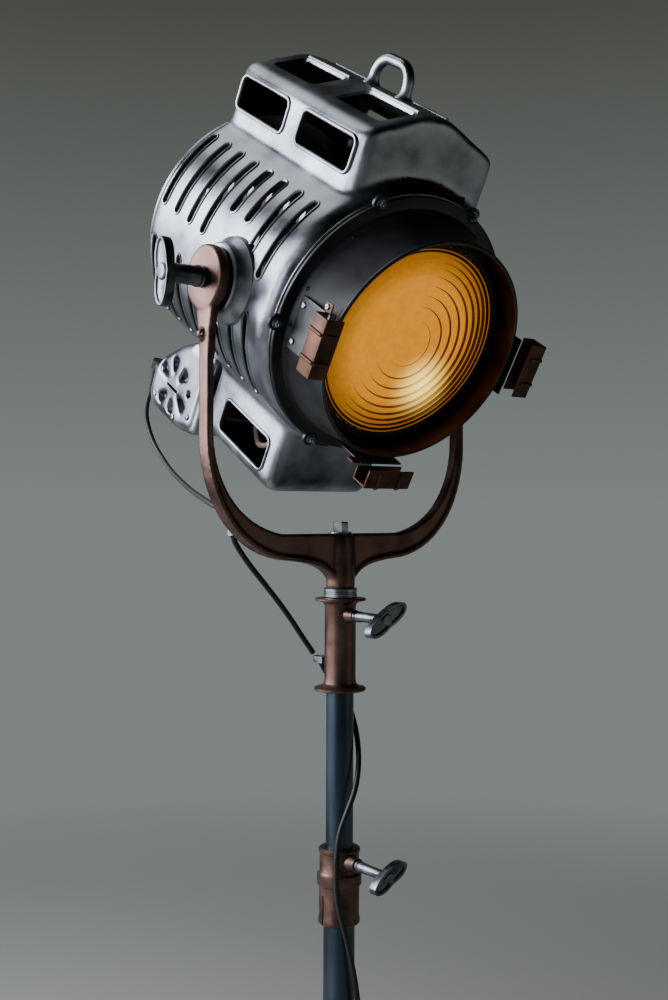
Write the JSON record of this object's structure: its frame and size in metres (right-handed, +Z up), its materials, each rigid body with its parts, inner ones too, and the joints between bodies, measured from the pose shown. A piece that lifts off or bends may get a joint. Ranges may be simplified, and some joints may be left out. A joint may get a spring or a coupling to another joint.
{
  "type": "tripod floor lamp",
  "caption": "Studio spotlight floor lamp: slotted drum head with chimney hood, stepped amber lens and snoot, tilting in a bow yoke on a height-adjustable folding tripod stand.",
  "frame": {"origin": "on the floor under the middle of the object's box, the mains cord left out", "axes": "+Z up, the lamp looks along -Y, +X to the lamp's left as seen from in front"},
  "size_m": [0.8734, 0.8949, 2.0509],
  "materials": {
    "cast_aluminium": "polished and darkened cast aluminium",
    "dark_aluminium": "satin dark grey",
    "bronze": "aged bronze, brushed",
    "copper_sheet": "browned copper sheet",
    "steel": "worn bright steel",
    "blued_steel": "blue-grey satin",
    "amber_glass": "pressed amber glass",
    "clear_glass": "clear",
    "ceramic": "unglazed porcelain",
    "reflector": "polished",
    "rubber": "matt black",
    "gasket": "woven glass fibre"
  },
  "bodies": {
    "stand": {"mast_tube": "blued_steel", "mast_plug": "rubber", "clamp_collar": "bronze", "leg_crown": "bronze", "mains_cord_stand": "rubber", "mains_cord_coil": "rubber", "mains_plug": "rubber"},
    "height_knob": {"height_knob": "steel"},
    "riser": {"riser_tube": "blued_steel", "sleeve": "bronze", "sleeve_cord_clip": "steel", "mains_cord_yoke": "rubber"},
    "pan_knob": {"pan_knob": "steel"},
    "yoke": {"yoke": "bronze", "hub_bolt": "steel", "swivel_ring": "steel", "friction_washer_left": "rubber", "friction_washer_right": "rubber", "yoke_cord_clip": "steel", "mains_cord_head": "rubber"},
    "tilt_knob_left": {"tilt_knob_left": "steel"},
    "tilt_knob_right": {"tilt_knob_right": "steel"},
    "head": {"drum_housing": "cast_aluminium", "chimney_hood": "cast_aluminium", "lower_skirt": "cast_aluminium", "terminal_box": "cast_aluminium", "cable_gland": "rubber", "rear_cover": "cast_aluminium", "front_face_plate": "dark_aluminium", "snoot": "dark_aluminium", "fresnel_lens": "amber_glass", "lens_gasket": "gasket", "lens_holder": "dark_aluminium", "lens_retaining_ring": "dark_aluminium", "filter_clip_left": "copper_sheet", "filter_clip_right": "copper_sheet", "filter_clip_bottom": "copper_sheet", "carry_handle": "steel", "trunnion_boss_left": "dark_aluminium", "trunnion_boss_right": "dark_aluminium", "focus_rail_left": "steel", "focus_rail_right": "steel", "inner_lead": "rubber"},
    "focus_carriage": {"focus_carriage": "steel", "lampholder": "ceramic", "bulb": "clear_glass", "reflector": "reflector", "focus_rod": "steel", "focus_knob": "rubber"},
    "brace_slider": {"brace_slider": "bronze"},
    "leg_1": {"leg_1": "blued_steel", "foot_1": "rubber"},
    "brace_1": {"brace_1": "steel"},
    "leg_2": {"leg_2": "blued_steel", "foot_2": "rubber"},
    "brace_2": {"brace_2": "steel"},
    "leg_3": {"leg_3": "blued_steel", "foot_3": "rubber"},
    "brace_3": {"brace_3": "steel"}
  },
  "joints": [
    {"name": "height_slide", "type": "slide", "parent": "stand", "child": "riser", "axis": [0, 0, 1], "range_m": [-0.165, 0.35], "deforming": ["mains_cord_stand"]},
    {"name": "pan", "type": "hinge", "parent": "riser", "child": "yoke", "pos_m": [0, 0.05993, 1.35], "axis": [0, 0, 1], "range_deg": [-170, 170], "deforming": ["mains_cord_yoke"]},
    {"name": "tilt", "type": "hinge", "parent": "yoke", "child": "head", "pos_m": [0, 0.05993, 1.725], "axis": [1, 0, 0], "range_deg": [-38, 50], "deforming": ["mains_cord_head"]},
    {"name": "focus_slide", "type": "slide", "parent": "head", "child": "focus_carriage", "axis": [0, 0.8581, 0.5135], "range_m": [-0.04, 0.04], "deforming": ["inner_lead"]},
    {"name": "tilt_knob_left_turn", "type": "hinge", "parent": "yoke", "child": "tilt_knob_left", "pos_m": [-0.23, 0.05993, 1.725], "axis": [-1, 0, 0], "range_deg": [-180, 180]},
    {"name": "tilt_knob_right_turn", "type": "hinge", "parent": "yoke", "child": "tilt_knob_right", "pos_m": [0.23, 0.05993, 1.725], "axis": [1, 0, 0], "range_deg": [-180, 180]},
    {"name": "pan_knob_turn", "type": "hinge", "parent": "riser", "child": "pan_knob", "pos_m": [0, 0.00993, 1.3184], "axis": [0, -1, 0], "range_deg": [-180, 180]},
    {"name": "height_knob_turn", "type": "hinge", "parent": "stand", "child": "height_knob", "pos_m": [0, 0.00993, 1.0074], "axis": [0, -1, 0], "range_deg": [-180, 180]},
    {"name": "leg_1_fold", "type": "hinge", "parent": "stand", "child": "leg_1", "pos_m": [0, 0.01393, 0.64], "axis": [1, 0, 0], "range_deg": [0, 31.5]},
    {"name": "leg_2_fold", "type": "hinge", "parent": "stand", "child": "leg_2", "pos_m": [0.03984, 0.08293, 0.64], "axis": [-0.5, 0.866, 0], "range_deg": [0, 31.5]},
    {"name": "leg_3_fold", "type": "hinge", "parent": "stand", "child": "leg_3", "pos_m": [-0.03984, 0.08293, 0.64], "axis": [-0.5, -0.866, 0], "range_deg": [0, 31.5]},
    {"name": "slider_slide", "type": "slide", "parent": "stand", "child": "brace_slider", "axis": [0, 0, 1], "range_m": [-0.0886, 0]},
    {"name": "brace_1_turn", "type": "hinge", "parent": "brace_slider", "child": "brace_1", "pos_m": [0, 0.01393, 0.22888], "axis": [1, 0, 0], "range_deg": [-31.5, 0]},
    {"name": "brace_2_turn", "type": "hinge", "parent": "brace_slider", "child": "brace_2", "pos_m": [0.03984, 0.08293, 0.22888], "axis": [-0.5, 0.866, 0], "range_deg": [-31.5, 0]},
    {"name": "brace_3_turn", "type": "hinge", "parent": "brace_slider", "child": "brace_3", "pos_m": [-0.03984, 0.08293, 0.22888], "axis": [-0.5, -0.866, 0], "range_deg": [-31.5, 0]}
  ],
  "couplings": [
    {"joint": "leg_2_fold", "follows": "leg_1_fold", "ratio": 1},
    {"joint": "leg_3_fold", "follows": "leg_1_fold", "ratio": 1},
    {"joint": "slider_slide", "follows": "leg_1_fold", "m_per_rad": -0.16026},
    {"joint": "brace_1_turn", "follows": "leg_1_fold", "ratio": -1},
    {"joint": "brace_2_turn", "follows": "leg_1_fold", "ratio": -1},
    {"joint": "brace_3_turn", "follows": "leg_1_fold", "ratio": -1}
  ]
}
